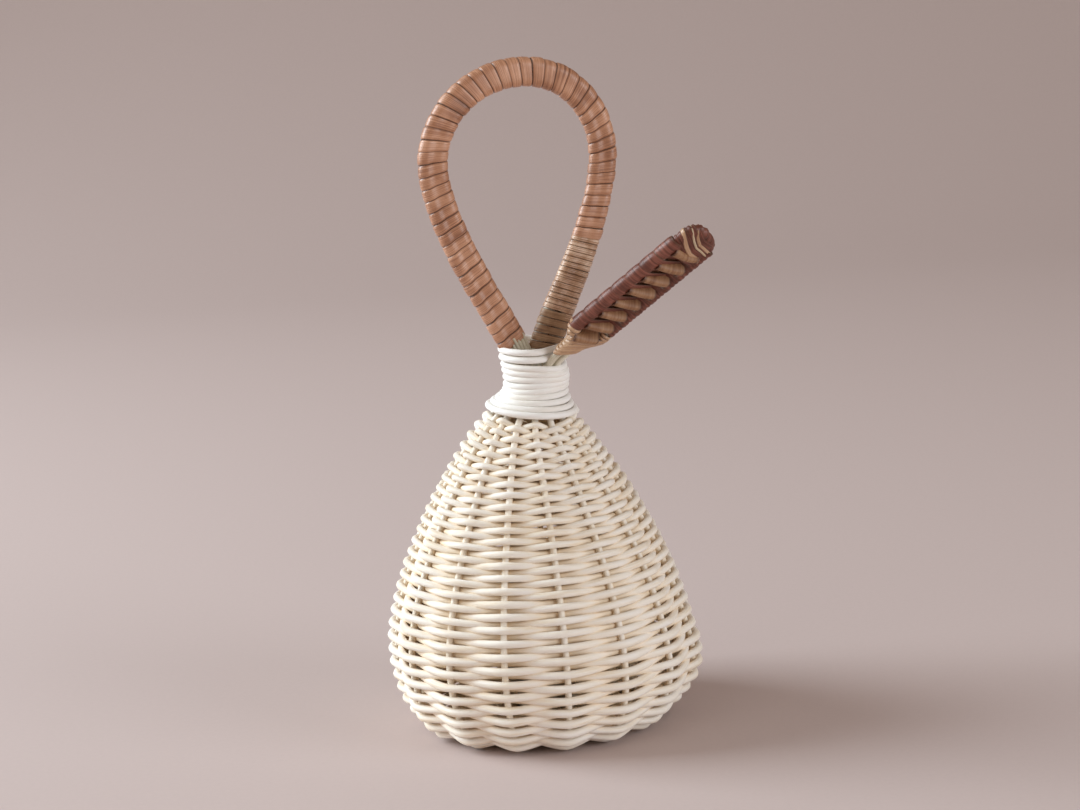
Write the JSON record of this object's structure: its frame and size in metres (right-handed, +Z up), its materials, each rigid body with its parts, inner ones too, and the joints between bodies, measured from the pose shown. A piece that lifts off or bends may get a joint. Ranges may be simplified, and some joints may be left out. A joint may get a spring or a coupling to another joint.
{
  "type": "woven rattan rattle",
  "caption": "Pear-shaped woven rattan baby rattle with a bound neck, a cane-wrapped finger loop, a laced leaf on a stem and a loose bell inside.",
  "frame": {"origin": "where the body's axis meets the table, on the underside of the middle lower stake", "axes": "+Z up the body's axis, +X towards the side the leaf leans to, -Y towards the viewer of the picture"},
  "size_m": [0.0904, 0.08, 0.1744],
  "materials": {
    "cane": "matte natural cane",
    "white_cane": "matte white cane",
    "pith": "raw cane core",
    "peel": "satin cane peel",
    "fibre": "satin striated peel",
    "dark_peel": "satin dark peel",
    "tan_peel": "satin tan peel",
    "bell_metal": "bright nickel plate"
  },
  "bodies": {
    "rattle": {"stake_lower_1": "cane", "stake_lower_2": "cane", "stake_lower_3": "cane", "stake_upper_1": "cane", "stake_upper_2": "cane", "stake_upper_3": "cane", "stake_upper_4": "cane", "stake_upper_half": "cane", "weaver_1": "cane", "weaver_2": "cane", "weaver_3": "cane", "weaver_4": "cane", "weaver_5": "cane", "weaver_6": "cane", "weaver_7": "cane", "weaver_8": "cane", "neck_binding": "white_cane", "handle_rod_outer": "pith", "handle_rod_inner": "pith", "handle_wrap": "peel", "handle_leg_wrap": "fibre", "handle_end_tie": "peel", "leaf_rim": "pith", "leaf_lacing": "dark_peel", "leaf_midrib": "tan_peel", "leaf_tie": "tan_peel", "leaf_tip_binding": "dark_peel"},
    "bell": {"bell_lower_cup": "bell_metal", "bell_upper_cup": "bell_metal", "bell_eye": "bell_metal"},
    "pellet": {"bell_pellet": "bell_metal"}
  },
  "joints": [
    {"name": "bell_shake", "type": "slide", "parent": "rattle", "child": "bell", "axis": [0, 0, 1], "range_m": [0, 0.04]},
    {"name": "pellet_shake", "type": "slide", "parent": "bell", "child": "pellet", "axis": [0, 0, 1], "range_m": [0, 0.01]}
  ]
}
